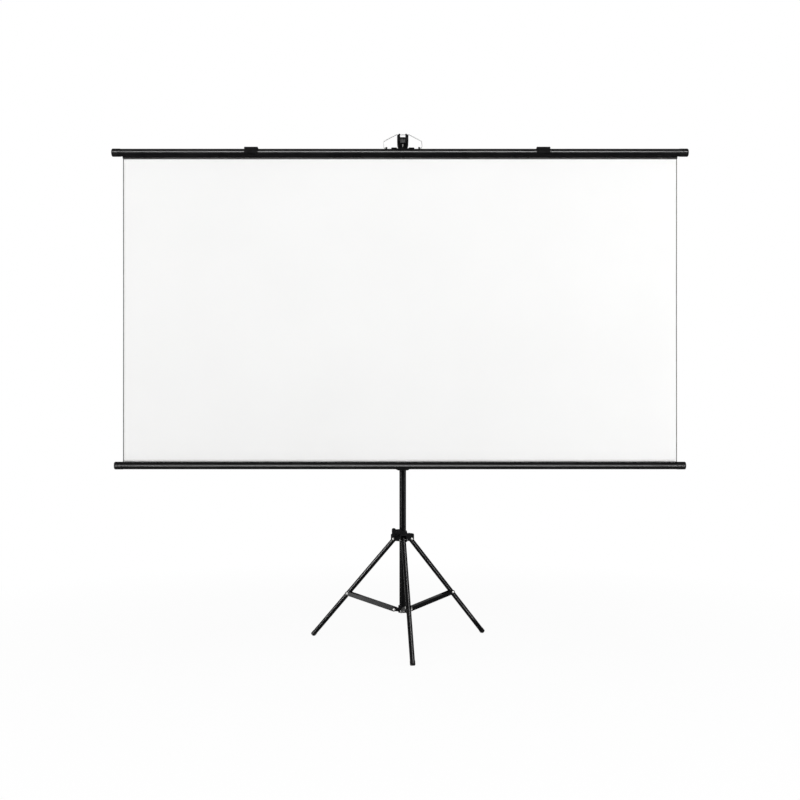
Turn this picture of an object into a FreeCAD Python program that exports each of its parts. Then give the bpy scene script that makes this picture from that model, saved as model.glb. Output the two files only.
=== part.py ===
import FreeCAD, Part
import math
import os

# Portable projection screen on a tripod stand, in millimetres.
# The screen is centred on x = 0, faces -Y, and the stand's feet rest on z = 0.
# The pieces are drawn about the mast's axis and moved into that frame when they are written.

V = FreeCAD.Vector
ORIGIN = V(0, 0, 0)
ACROSS = V(1, 0, 0)
BACK = V(0, 1, 0)
UP = V(0, 0, 1)

# Clearances
seat_gap = 0.05  # radial play of a pushed-in plug or sleeve
running_gap = 0.06  # radial play of a pin or shaft that turns or slides
side_gap = 0.5  # beside a leg between two cheeks
lug_gap = 0.3  # beside a lug between two flanges
free_gap = 0.3  # between bodies that pass each other
overrun = 2.0  # how far a cutting shape passes the face that it opens

# Mast
mast_radius = 13.5
mast_wall = 1.2
mast_top_z = 1150.0
inner_mast_radius = 11.0
inner_mast_wall = 1.0
inner_mast_length = 1450.0
guide_length = 40.0

# Legs: angles from the vertical and turned about the mast
leg_names = ("1", "2", "3")
leg_azimuths = (275.0, 35.0, 155.0)
leg_angle = 42.0
leg_radius = 9.5
leg_wall = 1.2
leg_overhang = 7.0  # tube past its pivot
plug_head = 3.0
plug_length = 24.0
hub_pivot_radius = 37.0
hub_pivot_z = 422.5
brace_point = 316.0  # from the hub pivot down the leg

# Feet
foot_radius = 10.2
foot_length = 16.0
foot_edge = 2.5
foot_spigot = 18.0
foot_flat_depth = 2.2

# Leg hub
hub_skirt = 8.0  # below the leg pivots
hub_shoulder_rise = 22.0  # above the leg pivots
hub_top_rise = 34.0
hub_radius = 18.5
hub_neck_radius = 16.8
ear_cheek = 4.0
ear_reach = 46.5
ear_roof = 4.0
ear_corner = 7.0
rivet_radius = 2.5
rivet_head_radius = 5.0
rivet_head_height = 2.2

# Hub knob
knob_azimuth = 215.0
knob_rise = 27.5  # above the leg pivots
boss_height = 28.0
boss_width = 16.0
boss_reach = 31.0
wing_height = 39.0
wing_depth = 15.0
wing_thickness = 10.0
wing_edge = 2.0
knob_stem_radius = 7.5
knob_stem_length = 5.0
stud_radius = 3.0
stud_grip = 9.0  # stud inside the wing

# Brace hub on the foot of the mast
brace_hub_bottom_z = 127.0
brace_hub_height = 28.0
brace_hub_floor = 4.0
brace_hub_wall = 4.5
brace_hub_pivot_rise = 10.0  # above its bottom
brace_hub_pivot_radius = 35.0
lug_radius = 6.5
lug_slot_width = 8.0
lug_slot_root = 21.0

# Braces
brace_depth = 16.5
brace_wall = 1.2
web_inner_trim = 10.5
web_outer_trim = 54.0

# Clamp at the top of the outer mast tube
clamp_wall = 4.5
clamp_height = 44.0
clamp_lip = 8.0  # above the end of the tube
clamp_azimuth = 90.0
clamp_boss_radius = 9.0
clamp_boss_reach = 30.0
clamp_knob_drop = 18.0  # knob axis below the tube's end
clamp_bush_flange = 2.5
clamp_bush_depth = 30.0

# Screen: where it hangs
screen_shift = 11.0  # the mast stands this far right of the screen's centre
case_axis_y = -61.5
case_axis_z = 1970.0

# Case
case_radius = 15.5
case_wall = 1.2
case_end_room = 8.0  # case past each edge of the fabric
case_cap_radius = 16.3
case_cap_length = 34.0
case_cap_edge = 5.0
case_cap_spigot = 5.0
case_cap_ring = 2.0
slot_width = 2.6
lip_wall = 1.2
lip_drop = 22.0  # below the case's axis
slot_margin = 0.8  # past each edge of the fabric

# Roller and fabric
fabric_width = 2214.0
fabric_thickness = 0.28
roller_radius = 9.0
roller_wall = 0.9
roll_layers = 0.56  # thickness of the turns left on the roller
roller_plug_depth = 20.0
spindle_radius = 2.5
spindle_core_radius = 4.6
spindle_core_length = 480.0
spring_radius = 6.7
spring_length = 440.0
journal_depth = 12.0  # spindle and pin inside the caps
fabric_gap = 0.15

# Weight bar
weight_bar_z = 722.0
weight_bar_radius = 15.0
weight_bar_wall = 1.5
weight_bar_cap_radius = 15.6
weight_bar_cap_length = 34.0
weight_bar_cap_edge = 4.5
weight_bar_spigot = 14.0
weight_bar_lip = 2.5
hem_rod_radius = 3.0

# Cradle for the weight bar
cradle_wall = 4.0
cradle_length = 54.0
cradle_foot_length = 30.0
cradle_arm_width = 26.0
cradle_collar_wall = 4.5
cradle_collar_drop = 5.0  # collar's lower end below the bar's axis
cradle_collar_height = 30.0
cradle_lip = 6.0
cradle_lip_angle = 45.0
cradle_rear_angle = 35.0
cradle_gap = 0.4
cradle_screw_radius = 2.0
cradle_screw_head = 4.0
cradle_screw_head_height = 2.5

# Hangers on the case
hanger_shares = (("hanger_left", -0.2659), ("hanger_right", 0.2561))  # of the case, from its middle
arc_shares = (-1, -0.5, 0, 0.5, 1)  # of a sector's half angle, where its cutter has points
hanger_length = 54.0
hanger_wall = 2.4
hanger_wrap_angle = 105.0
hanger_depth = 26.0
hanger_hole_radius = 1.75
hanger_hole_rise = 2.7  # hole axis above the case
hanger_top = 6.0  # top above the case
hanger_edge = 2.0

# Bail of the case
bail_radius = 1.8
bail_half_width = 76.0
bail_pivot_rise = 2.9  # above the case
bail_corner_rise = 45.0  # above the case's axis
bail_top_rise = 71.5
bail_top_half_width = 26.0
bail_bend_radius = 7.0
bail_foot_length = 13.0
bail_clip_length = 7.0
bail_clip_depth = 15.0
bail_clip_top = 6.2  # above the case
bail_clip_leg_gap = 0.8

# Saddle on the case below the head
saddle_half_length = 46.0
saddle_pad_length = 23.0
saddle_wall = 1.5
saddle_pad_rise = 5.0
saddle_pad_edge = 2.5
saddle_half_angle = 60.0

# Hook head of the mast, with heights above the case's axis
head_half_width = 22.5
head_gap_half_width = 10.4
head_socket_wall = 5.0
head_tube_rise = 42.0  # end of the inner tube
head_socket_rise = 8.0
head_socket_roof = 4.0
head_back_rise = 56.0
head_top_rise = 73.0
head_bridge_rise = 68.0
head_bridge_front_y = -34.0
head_reach = 16.0  # in front of the case's axis
head_nose_bottom = 44.0  # above the case's axis
head_nose_chamfer = 6.0
head_lip_angle = 45.0  # slope of the hook's front lip
head_throat_y = -24.0
head_throat_rise = 16.0
head_prong_chamfer = 8.0
head_panel_inset = 0.8
head_panel_low_rise = 46.0
head_panel_high_rise = 64.0
head_panel_depth = 5.0
head_screw_radius = 1.5
head_screw_head_radius = 1.9
head_screw_head_half_length = 3.8
head_screw_head_height = 2.4
head_screw_head_edge = 0.8
head_screw_rise = 34.0


# Derived sizes
case_length = fabric_width + 2 * case_end_room
inner_mast_top_z = case_axis_z + head_tube_rise
head_socket_bottom_z = case_axis_z + head_socket_rise
head_back_top_z = case_axis_z + head_back_rise
head_top_z = case_axis_z + head_top_rise
head_bridge_top_z = case_axis_z + head_bridge_rise
head_throat_z = case_axis_z + head_throat_rise
head_screw_z = case_axis_z + head_screw_rise
bail_corner_z = case_axis_z + bail_corner_rise
bail_top_z = case_axis_z + bail_top_rise
hub_bottom_z = hub_pivot_z - hub_skirt
hub_shoulder_z = hub_pivot_z + hub_shoulder_rise
hub_top_z = hub_pivot_z + hub_top_rise
knob_z = hub_pivot_z + knob_rise
brace_hub_pivot_z = brace_hub_bottom_z + brace_hub_pivot_rise
cradle_collar_z = weight_bar_z - cradle_collar_drop
leg_slope = math.radians(leg_angle)
mast_bore = mast_radius - mast_wall
roll_radius = roller_radius + roll_layers
case_bore = case_radius - case_wall
fabric_y = case_axis_y + roll_radius + fabric_gap + fabric_thickness / 2
case_left = -screen_shift - case_length / 2
case_right = case_left + case_length
fabric_left = -screen_shift - fabric_width / 2
fabric_right = fabric_left + fabric_width
case_top_z = case_axis_z + case_radius
channel_width = 2 * (leg_radius + side_gap)
ear_half_gap = leg_radius + side_gap
ear_half_width = ear_half_gap + ear_cheek
foot_drop = (foot_radius - foot_edge) * math.sin(leg_slope) + foot_edge - foot_flat_depth
leg_length = (hub_pivot_z - foot_drop) / math.cos(leg_slope) + foot_edge
foot_circle = hub_pivot_radius + leg_length * math.sin(leg_slope)
brace_end_radius = hub_pivot_radius + brace_point * math.sin(leg_slope)
brace_end_z = hub_pivot_z - brace_point * math.cos(leg_slope)
brace_length = math.hypot(brace_end_radius - brace_hub_pivot_radius, brace_end_z - brace_hub_pivot_z)
brace_angle = math.degrees(
    math.atan2(brace_end_z - brace_hub_pivot_z, brace_end_radius - brace_hub_pivot_radius)
)
bail_pivot_z = case_top_z + bail_pivot_rise
fabric_bottom_z = weight_bar_z + weight_bar_radius - weight_bar_wall - free_gap
mast_bottom_z = brace_hub_bottom_z + brace_hub_floor

# Where the mast stands in the finished frame: the screen is centred across, the feet front to back
leg_sines = [math.sin(math.radians(azimuth)) for azimuth in leg_azimuths]
mast_x = screen_shift
mast_y = -foot_circle * (min(leg_sines) + max(leg_sines)) / 2


# Shape helpers


def cylinder(radius, length, base, axis):
    return Part.makeCylinder(radius, length, base, axis)


def pipe(outer, inner, length, base, axis):
    """A round tube with open ends."""
    reach = V(axis)
    reach.normalize()
    bore = cylinder(inner, length + 2 * overrun, base - reach * overrun, axis)
    return cylinder(outer, length, base, axis).cut(bore)


def block(x_span, y_span, z_span):
    """A box from three pairs of limits."""
    corner = V(x_span[0], y_span[0], z_span[0])
    return Part.makeBox(x_span[1] - x_span[0], y_span[1] - y_span[0], z_span[1] - z_span[0], corner)


def prism_yz(points, x_start, x_end):
    """A profile in y and z carried along x."""
    corners = [V(x_start, y, z) for y, z in points]
    return Part.Face(Part.makePolygon(corners + corners[:1])).extrude(V(x_end - x_start, 0, 0))


def prism_xz(points, y_start, y_end):
    """A profile in x and z carried along y."""
    corners = [V(x, y_start, z) for x, z in points]
    return Part.Face(Part.makePolygon(corners + corners[:1])).extrude(V(0, y_end - y_start, 0))


def turned(profile, base):
    """A profile of radius and height turned about a vertical axis through base."""
    corners = [base + V(radius, 0, height) for radius, height in profile]
    face = Part.Face(Part.makePolygon(corners + corners[:1]))
    return face.revolve(base, UP, 360)


def stadium(half_length, radius, y_start, y_end):
    """A flat bar in x and z with round ends, its centres half_length from the middle along x."""
    ends = [V(-half_length, y_start, -radius), V(half_length, y_start, -radius)]
    far = [V(half_length, y_start, radius), V(-half_length, y_start, radius)]
    right = Part.Arc(ends[1], V(half_length + radius, y_start, 0), far[0])
    left = Part.Arc(far[1], V(-half_length - radius, y_start, 0), ends[0])
    edges = [Part.LineSegment(ends[0], ends[1]), right, Part.LineSegment(far[0], far[1]), left]
    wire = Part.Wire([edge.toShape() for edge in edges])
    return Part.Face(wire).extrude(V(0, y_end - y_start, 0))


def round_edges(shape, radius, wanted):
    """Rounds the edges whose middle passes a test."""
    chosen = [edge for edge in shape.Edges if wanted(edge)]
    return shape.makeFillet(radius, chosen)


def turned_about_mast(shape, azimuth):
    """A copy of a piece drawn along +X, swung round the mast."""
    copy = shape.copy()
    copy.rotate(ORIGIN, UP, azimuth)
    return copy


def dome_head(radius, height, base, axis):
    """A rivet head: the cap of a ball with the given base radius and height."""
    ball_radius = (radius * radius + height * height) / (2 * height)
    reach = V(axis)
    reach.normalize()
    ball = Part.makeSphere(ball_radius, base - reach * (ball_radius - height))
    return ball.common(cylinder(radius, height, base, reach))


def rivet(length, middle):
    """A two-headed rivet along y, its heads outside a stack of the given length."""
    near = middle - BACK * (length / 2)
    far = middle + BACK * (length / 2)
    shank = cylinder(rivet_radius, length, near, BACK)
    heads = dome_head(rivet_head_radius, rivet_head_height, far, BACK)
    return shank.fuse([heads, dome_head(rivet_head_radius, rivet_head_height, near, -BACK)])


# Stand


def mast_lower_tube():
    tube = pipe(mast_radius, mast_bore, mast_top_z - mast_bottom_z, V(0, 0, mast_bottom_z), UP)
    clamp_hole = cylinder(
        stud_radius + seat_gap, mast_radius + overrun, V(0, 0, mast_top_z - clamp_knob_drop), ACROSS
    )
    cradle_hole = cylinder(
        cradle_screw_radius + seat_gap,
        mast_radius + overrun,
        V(0, 0, cradle_collar_z + cradle_collar_height / 2),
        BACK,
    )
    return tube.cut([turned_about_mast(clamp_hole, clamp_azimuth), cradle_hole])


def brace_hub():
    """A cup on the mast's foot with three slotted lugs."""
    outer = mast_radius + seat_gap + brace_hub_wall
    cup = cylinder(outer, brace_hub_height, V(0, 0, brace_hub_bottom_z), UP)
    lugs = []
    width = channel_width - 2 * lug_gap
    half_span = brace_hub_pivot_radius / 2
    for azimuth in leg_azimuths:
        lug = stadium(half_span, lug_radius, -width / 2, width / 2)
        lug.translate(V(half_span, 0, brace_hub_pivot_z))
        slot = block(
            (lug_slot_root, brace_hub_pivot_radius + 2 * lug_radius),
            (-lug_slot_width / 2, lug_slot_width / 2),
            (brace_hub_pivot_z - 2 * lug_radius, brace_hub_pivot_z + 2 * lug_radius),
        )
        hole = cylinder(
            rivet_radius + seat_gap, 2 * width, V(brace_hub_pivot_radius, -width, brace_hub_pivot_z), BACK
        )
        lugs.append(turned_about_mast(lug.cut([slot, hole]), azimuth))
    bore = cylinder(mast_radius + seat_gap, brace_hub_height, V(0, 0, mast_bottom_z), UP)
    return cup.fuse(lugs).cut(bore)


def brace_hub_rivets():
    length = channel_width + 2 * brace_wall + 2 * lug_gap
    pin = rivet(length, V(brace_hub_pivot_radius, 0, brace_hub_pivot_z))
    return Part.makeCompound([turned_about_mast(pin, azimuth) for azimuth in leg_azimuths])


def clamp_collar():
    """A collar over the end of the outer tube, with a boss for the clamp's stud."""
    outer = mast_radius + seat_gap + clamp_wall
    bottom = mast_top_z + clamp_lip - clamp_height
    profile = (
        (0, bottom),
        (outer - clamp_wall / 2, bottom),
        (outer, bottom + clamp_lip),
        (outer, mast_top_z),
        (outer - clamp_wall / 2, mast_top_z + clamp_lip),
        (0, mast_top_z + clamp_lip),
    )
    body = turned(profile, ORIGIN)
    axis_z = mast_top_z - clamp_knob_drop
    boss = cylinder(clamp_boss_radius, clamp_boss_reach, V(0, 0, axis_z), ACROSS)
    body = body.fuse(turned_about_mast(boss, clamp_azimuth))
    bore = cylinder(mast_radius + seat_gap, mast_top_z - bottom + overrun, V(0, 0, bottom - overrun), UP)
    mouth = cylinder(mast_bore, clamp_height, V(0, 0, bottom), UP)
    hole = cylinder(stud_radius + running_gap, clamp_boss_reach + overrun, V(0, 0, axis_z), ACROSS)
    return body.cut([bore, mouth, turned_about_mast(hole, clamp_azimuth)])


def clamp_bush():
    """A flanged bush that centres the inner tube in the end of the outer one."""
    top = mast_top_z + clamp_lip
    bottom = V(0, 0, mast_top_z - clamp_bush_depth)
    sleeve = cylinder(mast_bore - seat_gap, clamp_bush_depth + clamp_lip, bottom, UP)
    flange = cylinder(mast_radius + seat_gap, clamp_bush_flange, V(0, 0, top), UP)
    bore_start = V(0, 0, mast_top_z - clamp_height)
    bore = cylinder(inner_mast_radius + running_gap, 2 * clamp_height, bore_start, UP)
    hole = cylinder(stud_radius + seat_gap, mast_radius, V(0, 0, mast_top_z - clamp_knob_drop), ACROSS)
    return sleeve.fuse(flange).cut([bore, turned_about_mast(hole, clamp_azimuth)])


def bar_cradle():
    """A collar on the mast with an arm and a saddle that the weight bar rests in."""
    inner = weight_bar_radius + cradle_gap
    outer = inner + cradle_wall
    axis = V(-cradle_length / 2, fabric_y, weight_bar_z)
    shell = pipe(outer, inner, cradle_length, axis, ACROSS)
    lip_slope = math.radians(cradle_lip_angle)
    lip_normal = (-math.sin(lip_slope), -math.cos(lip_slope))
    along = (-math.cos(lip_slope), math.sin(lip_slope))
    rear_slope = math.radians(cradle_rear_angle)
    far = 2 * outer
    wedge = prism_yz(
        (
            (fabric_y, weight_bar_z),
            (fabric_y + far * lip_normal[0], weight_bar_z + far * lip_normal[1]),
            (fabric_y, weight_bar_z - far),
            (fabric_y + far * math.sin(rear_slope), weight_bar_z - far * math.cos(rear_slope)),
        ),
        -cradle_length,
        cradle_length,
    )
    trough = shell.common(wedge)
    lip_root = [(fabric_y + r * lip_normal[0], weight_bar_z + r * lip_normal[1]) for r in (inner, outer)]
    lip_end = [(y + cradle_lip * along[0], z + cradle_lip * along[1]) for y, z in lip_root]
    lip = prism_yz(
        (lip_root[0], lip_root[1], lip_end[1], lip_end[0]), -cradle_length / 2, cradle_length / 2
    )
    taper = (cradle_length - cradle_foot_length) / 2
    bottom = weight_bar_z - outer
    corner = prism_xz(
        (
            (cradle_length / 2 - taper, bottom - overrun),
            (cradle_length / 2 + overrun, bottom - overrun),
            (cradle_length / 2 + overrun, bottom + taper / 2),
        ),
        fabric_y - far,
        fabric_y + far,
    )
    trough = trough.fuse(lip).cut([corner, corner.mirror(ORIGIN, ACROSS)])
    collar_outer = mast_radius + seat_gap + cradle_collar_wall
    collar = cylinder(collar_outer, cradle_collar_height, V(0, 0, cradle_collar_z), UP)
    arm_top = cradle_collar_z + cradle_collar_height
    rear_y = fabric_y + outer * math.sin(rear_slope)
    rear_z = weight_bar_z - outer * math.cos(rear_slope)
    inner_rear_y = fabric_y + inner * math.sin(rear_slope)
    inner_rear_z = weight_bar_z - inner * math.cos(rear_slope)
    arm = prism_yz(
        (
            (inner_rear_y, inner_rear_z),
            (rear_y, rear_z),
            (fabric_y + outer, cradle_collar_z),
            (0, cradle_collar_z),
            (0, arm_top),
            (-collar_outer, arm_top),
            (fabric_y + inner, weight_bar_z),
        ),
        -cradle_arm_width / 2,
        cradle_arm_width / 2,
    )
    room = cylinder(inner, cradle_length + 2 * overrun, axis - ACROSS * overrun, ACROSS)
    bore_start = V(0, 0, cradle_collar_z - cradle_collar_height / 2)
    bore = cylinder(mast_radius + seat_gap, 2 * cradle_collar_height, bore_start, UP)
    screw_z = cradle_collar_z + cradle_collar_height / 2
    hole = cylinder(cradle_screw_radius + seat_gap, collar_outer + overrun, V(0, 0, screw_z), BACK)
    return trough.fuse([collar, arm]).cut([room, bore, hole])


def cradle_screw():
    face_y = mast_radius + seat_gap + cradle_collar_wall
    screw_z = cradle_collar_z + cradle_collar_height / 2
    start_y = mast_bore + seat_gap
    shank = cylinder(cradle_screw_radius, face_y - start_y, V(0, start_y, screw_z), BACK)
    head = dome_head(cradle_screw_head, cradle_screw_head_height, V(0, face_y, screw_z), BACK)
    return shank.fuse(head)


# Leg group


def leg_hub():
    """A moulded hub: a necked sleeve, three roofed ears for the legs and an oblong boss for the knob."""
    sleeve = turned(
        (
            (0, hub_bottom_z),
            (hub_radius, hub_bottom_z),
            (hub_radius, hub_shoulder_z),
            (hub_neck_radius, hub_top_z),
            (0, hub_top_z),
        ),
        ORIGIN,
    )
    height = hub_shoulder_z - hub_bottom_z
    ear = block((0, ear_reach), (-ear_half_width, ear_half_width), (hub_bottom_z, hub_shoulder_z))
    ear = round_edges(
        ear,
        ear_corner,
        lambda edge: edge.CenterOfMass.x > ear_reach - overrun / 2
        and abs(edge.CenterOfMass.y) < overrun / 2
        and edge.CenterOfMass.z > hub_bottom_z + height / 2,
    )
    low_corner = prism_xz(
        (
            (hub_radius, hub_bottom_z - overrun),
            (ear_reach + overrun, hub_bottom_z - overrun),
            (ear_reach + overrun, hub_bottom_z + ear_corner),
            (hub_pivot_radius, hub_bottom_z),
        ),
        -2 * ear_half_width,
        2 * ear_half_width,
    )
    room = block(
        (hub_radius, ear_reach + overrun),
        (-ear_half_gap, ear_half_gap),
        (hub_bottom_z - overrun, hub_shoulder_z - ear_roof),
    )
    hole_start = V(hub_pivot_radius, -2 * ear_half_width, hub_pivot_z)
    hole = cylinder(rivet_radius + seat_gap, 4 * ear_half_width, hole_start, BACK)
    ears = [turned_about_mast(ear.cut([low_corner, hole]), azimuth) for azimuth in leg_azimuths]
    rooms = [turned_about_mast(room, azimuth) for azimuth in leg_azimuths]
    half = boss_height / 2 - boss_width / 2
    boss = stadium(half, boss_width / 2, 0, boss_reach)
    boss.rotate(ORIGIN, BACK, 90)
    boss.rotate(ORIGIN, UP, -90)
    boss.translate(V(0, 0, knob_z))
    stud_hole = cylinder(stud_radius + running_gap, boss_reach + overrun, V(0, 0, knob_z), ACROSS)
    bore_start = V(0, 0, hub_bottom_z - overrun)
    bore = cylinder(mast_radius + running_gap, 2 * boss_height + height, bore_start, UP)
    hub = sleeve.fuse(ears).cut(rooms).fuse(turned_about_mast(boss, knob_azimuth))
    hub = hub.cut([bore, turned_about_mast(stud_hole, knob_azimuth)])
    return hub.removeSplitter()


def leg_rivets():
    pin = rivet(2 * ear_half_width, V(hub_pivot_radius, 0, hub_pivot_z))
    return Part.makeCompound([turned_about_mast(pin, azimuth) for azimuth in leg_azimuths])


def wing_knob(reach, height_z):
    """A wing on a stem, drawn along +X from the face that it turns against."""
    stem = cylinder(knob_stem_radius, knob_stem_length + wing_depth / 2, V(reach, 0, height_z), ACROSS)
    half = wing_height / 2 - wing_depth / 2
    wing = stadium(half, wing_depth / 2, -wing_thickness / 2, wing_thickness / 2)
    wing = round_edges(
        wing, wing_edge, lambda edge: abs(abs(edge.CenterOfMass.y) - wing_thickness / 2) < seat_gap
    )
    wing.rotate(ORIGIN, BACK, 90)
    wing.translate(V(reach + knob_stem_length + wing_depth / 2, 0, height_z))
    socket = cylinder(stud_radius, knob_stem_length + stud_grip, V(reach, 0, height_z), ACROSS)
    return stem.fuse(wing).cut(socket)


def knob_stud(start, reach, height_z):
    """A stud from the tube that it presses on to the bottom of its knob's socket."""
    length = reach + knob_stem_length + stud_grip - start
    return cylinder(stud_radius, length, V(start, 0, height_z), ACROSS)


def hub_knob():
    return turned_about_mast(wing_knob(boss_reach + free_gap, knob_z), knob_azimuth)


def hub_knob_stud():
    stud = knob_stud(mast_radius + free_gap, boss_reach + free_gap, knob_z)
    return turned_about_mast(stud, knob_azimuth)


def clamp_knob():
    knob = wing_knob(clamp_boss_reach + free_gap, mast_top_z - clamp_knob_drop)
    return turned_about_mast(knob, clamp_azimuth)


def clamp_knob_stud():
    stud = knob_stud(
        inner_mast_radius + free_gap, clamp_boss_reach + free_gap, mast_top_z - clamp_knob_drop
    )
    return turned_about_mast(stud, clamp_azimuth)


def along_leg(shape):
    """Tips a piece drawn upright below the hub pivot out to the leg's slope."""
    shape.rotate(V(hub_pivot_radius, 0, hub_pivot_z), BACK, -leg_angle)
    return shape


def pivot_hole(radius):
    return cylinder(radius, 4 * leg_radius, V(hub_pivot_radius, -2 * leg_radius, hub_pivot_z), BACK)


def leg_tube(azimuth):
    bottom = hub_pivot_z - leg_length + foot_length
    top = hub_pivot_z + leg_overhang
    tube = pipe(leg_radius, leg_radius - leg_wall, top - bottom, V(hub_pivot_radius, 0, bottom), UP)
    tube = tube.cut(pivot_hole(rivet_radius + running_gap))
    return turned_about_mast(along_leg(tube), azimuth)


def leg_top_plug(azimuth):
    """A plug with a rounded head in the upper end of a leg."""
    top = hub_pivot_z + leg_overhang
    base = V(hub_pivot_radius, 0, top - plug_length)
    spigot = cylinder(leg_radius - leg_wall - seat_gap, plug_length, base, UP)
    head = cylinder(leg_radius, plug_head, V(hub_pivot_radius, 0, top), UP)
    head = round_edges(head, plug_head / 2, lambda edge: edge.CenterOfMass.z > top + plug_head / 2)
    plug = spigot.fuse(head).cut(pivot_hole(rivet_radius + running_gap))
    return turned_about_mast(along_leg(plug), azimuth)


def foot(azimuth):
    """A rubber foot plugged into the leg, with a flat where it meets the floor."""
    end = hub_pivot_z - leg_length
    sole = cylinder(foot_radius, foot_length, V(hub_pivot_radius, 0, end), UP)
    sole = round_edges(sole, foot_edge, lambda edge: edge.CenterOfMass.z < end + foot_edge / 2)
    spigot = cylinder(
        leg_radius - leg_wall - seat_gap, foot_spigot, V(hub_pivot_radius, 0, end + foot_length), UP
    )
    shape = along_leg(sole.fuse(spigot))
    far = 2 * foot_circle
    floor = block((-far, far), (-far, far), (-foot_length, 0))
    return turned_about_mast(shape.cut(floor), azimuth)


def along_brace(shape):
    """Moves a piece drawn along +X from the origin to the brace's inner pivot and slope."""
    shape.rotate(ORIGIN, BACK, -brace_angle)
    shape.translate(V(brace_hub_pivot_radius, 0, brace_hub_pivot_z))
    return shape


def brace(azimuth):
    """A channel, open below, whose forked ends straddle a lug and a leg."""
    half_width = channel_width / 2 + brace_wall
    half_depth = brace_depth / 2
    bar = stadium(brace_length / 2, half_depth, -half_width, half_width)
    bar.translate(V(brace_length / 2, 0, 0))
    inside = (-channel_width / 2, channel_width / 2)
    far = brace_length + brace_depth
    channel = block((-brace_depth, far), inside, (-brace_depth, half_depth - brace_wall))
    inner_fork = block((-brace_depth, web_inner_trim), inside, (-brace_depth, brace_depth))
    outer_fork = block((brace_length - web_outer_trim, far), inside, (-brace_depth, brace_depth))
    holes = [
        cylinder(rivet_radius + gap, 4 * half_width, V(place, -2 * half_width, 0), BACK)
        for place, gap in ((0, running_gap), (brace_length, seat_gap))
    ]
    return turned_about_mast(along_brace(bar.cut([channel, inner_fork, outer_fork] + holes)), azimuth)


def brace_rivets(azimuth):
    """Two short rivets, one in each flange beside the leg."""
    rivets = []
    for side in (-1, 1):
        inner = V(brace_length, side * channel_width / 2, 0)
        out = BACK * side
        shank = cylinder(rivet_radius, brace_wall, inner, out)
        head = dome_head(rivet_head_radius, rivet_head_height, inner + out * brace_wall, out)
        rivets.append(shank.fuse(head))
    return turned_about_mast(along_brace(Part.makeCompound(rivets)), azimuth)


# Telescoping mast


def mast_upper_tube():
    bottom = inner_mast_top_z - inner_mast_length
    tube = pipe(
        inner_mast_radius, inner_mast_radius - inner_mast_wall, inner_mast_length, V(0, 0, bottom), UP
    )
    hole = cylinder(head_screw_radius + seat_gap, 2 * inner_mast_radius, V(0, 0, head_screw_z), -BACK)
    return tube.cut(hole)


def upper_tube_guide():
    """A sleeve with a closed end that keeps the inner tube central."""
    bottom = inner_mast_top_z - inner_mast_length
    floor = mast_wall
    sleeve = cylinder(mast_bore - running_gap, guide_length, V(0, 0, bottom - floor), UP)
    return sleeve.cut(cylinder(inner_mast_radius + seat_gap, guide_length, V(0, 0, bottom), UP))


def mast_head():
    """A socket on the inner tube with a bridge and two hooked cheeks that reach over the case. The bridge
    has a sloped recess in its front."""
    outer = inner_mast_radius + seat_gap + head_socket_wall
    socket_top = inner_mast_top_z + head_socket_roof
    socket = cylinder(outer, socket_top - head_socket_bottom_z, V(0, 0, head_socket_bottom_z), UP)
    wire_room = bail_radius + free_gap
    wall_y = case_axis_y + wire_room
    nose_y = case_axis_y - head_reach
    seat_z = bail_top_z - wire_room
    lip_root_y = case_axis_y - wire_room * math.tan(math.radians(head_lip_angle / 2))
    lip_run = (head_top_z - seat_z) / math.tan(math.radians(head_lip_angle))
    profile = (
        (outer, head_throat_z),
        (outer, socket_top),
        (-outer, head_back_top_z),
        ((wall_y - outer) / 2, head_top_z),
        (wall_y, head_top_z),
        (wall_y, seat_z),
        (lip_root_y, seat_z),
        (lip_root_y - lip_run, head_top_z),
        (nose_y + head_nose_chamfer / 2, head_top_z),
        (nose_y, head_top_z - head_nose_chamfer),
        (nose_y, case_axis_z + head_nose_bottom),
        (head_throat_y, head_throat_z),
    )
    cheeks = prism_yz(profile, -head_half_width, head_half_width)
    gap = block(
        (-head_gap_half_width, head_gap_half_width),
        (2 * case_axis_y, head_bridge_front_y),
        (head_socket_bottom_z, head_top_z + overrun),
    )
    over_bridge = block(
        (-head_gap_half_width, head_gap_half_width),
        (2 * case_axis_y, 2 * outer),
        (head_bridge_top_z, head_top_z + overrun),
    )
    chamfer = prism_xz(
        (
            (head_half_width - head_prong_chamfer, head_top_z + seat_gap),
            (head_half_width + seat_gap, head_top_z - head_prong_chamfer),
            (head_half_width + overrun, head_top_z + overrun),
        ),
        2 * case_axis_y,
        2 * outer,
    )
    base_taper = prism_xz(
        (
            (outer, head_throat_z - overrun),
            (head_half_width + overrun, head_throat_z - overrun),
            (head_half_width + overrun, case_axis_z + head_nose_bottom),
            (head_half_width, case_axis_z + head_nose_bottom),
        ),
        2 * case_axis_y,
        2 * outer,
    )
    sides = [chamfer, chamfer.mirror(ORIGIN, ACROSS), base_taper, base_taper.mirror(ORIGIN, ACROSS)]
    bore = cylinder(
        inner_mast_radius + seat_gap, inner_mast_top_z - head_socket_bottom_z + overrun,
        V(0, 0, head_socket_bottom_z - overrun), UP,
    )
    hole = cylinder(head_screw_radius + seat_gap, -2 * head_bridge_front_y, V(0, 0, head_screw_z), -BACK)
    panel_half = head_gap_half_width - head_panel_inset
    panel_low = case_axis_z + head_panel_low_rise
    panel_high = case_axis_z + head_panel_high_rise
    panel = prism_yz(
        (
            (head_bridge_front_y - overrun, panel_low),
            (head_bridge_front_y, panel_low),
            (head_bridge_front_y + head_panel_depth, panel_high),
            (head_bridge_front_y - overrun, panel_high),
        ),
        -panel_half,
        panel_half,
    )
    head = cheeks.cut([gap, over_bridge] + sides).fuse(socket)
    return head.cut([bore, hole, panel]).removeSplitter()


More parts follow.
